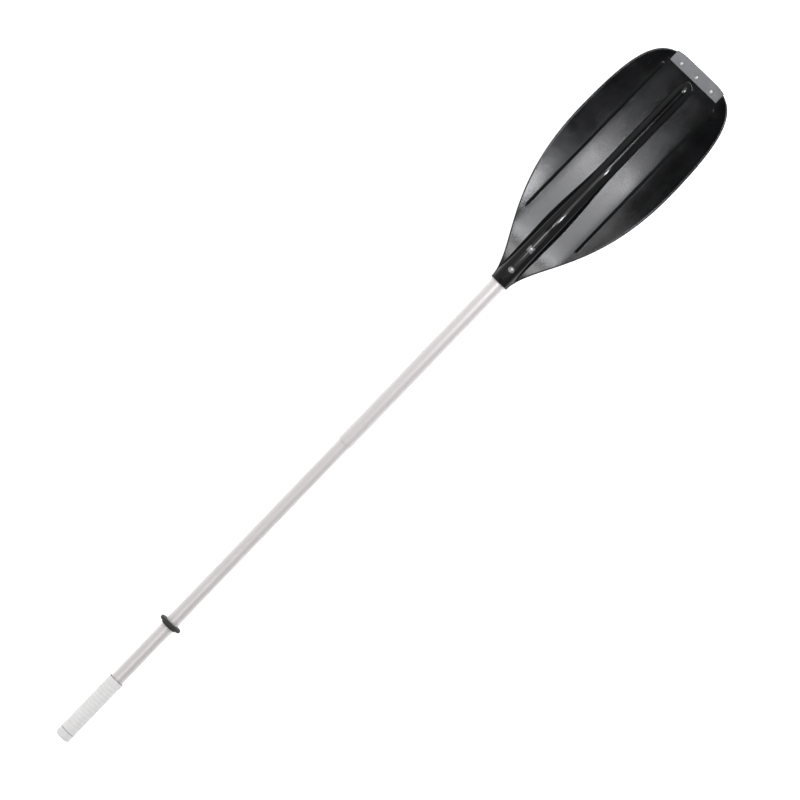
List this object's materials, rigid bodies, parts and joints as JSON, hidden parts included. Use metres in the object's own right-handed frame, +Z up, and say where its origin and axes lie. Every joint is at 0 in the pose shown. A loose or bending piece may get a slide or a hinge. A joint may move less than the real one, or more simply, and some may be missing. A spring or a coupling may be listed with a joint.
{
  "type": "oar",
  "caption": "Take-apart dinghy oar: aluminium tube shaft joined by a snap button, sliding rubber stop ring, pale grip and a ribbed black plastic blade with a guarded tip.",
  "frame": {"origin": "on the ground, halfway along the oar and under the middle of its width", "axes": "+X from the handle to the blade's tip, +Y across the blade, +Z up, the side of the blade's hollow face"},
  "size_m": [1.45, 0.2, 0.0404],
  "materials": {
    "cap": "satin",
    "grip": "matte",
    "tube": "satin",
    "stop_rubber": "matte",
    "blade_plastic": "satin",
    "guard": "satin",
    "rivet": "satin",
    "button_steel": "satin",
    "spring_steel": "satin",
    "plug": "matte",
    "foam": "matte"
  },
  "bodies": {
    "oar": {"end_cap": "cap", "grip_sleeve": "grip", "upper_tube": "tube", "lower_tube": "tube", "blade": "blade_plastic", "tip_guard": "guard", "tip_guard_rivet_left": "rivet", "tip_guard_rivet_middle": "rivet", "tip_guard_rivet_right": "rivet", "blade_rivet_near": "rivet", "blade_rivet_far": "rivet", "spring_clip": "spring_steel", "upper_tube_plug": "plug", "lower_tube_plug": "plug", "upper_float": "foam", "lower_float": "foam"},
    "stop_ring": {"stop_ring": "stop_rubber"},
    "snap_button": {"snap_button": "button_steel"}
  },
  "joints": [
    {"name": "stop_ring_slide", "type": "slide", "parent": "oar", "child": "stop_ring", "axis": [1, 0, 0], "range_m": [-0.1154, 0.3902]},
    {"name": "snap_button_press", "type": "slide", "parent": "oar", "child": "snap_button", "axis": [0, 0, 1], "range_m": [0, 0.0035], "stiffness_N_per_m": 2000, "springref_m": -0.001, "deforming": ["spring_clip"]}
  ]
}
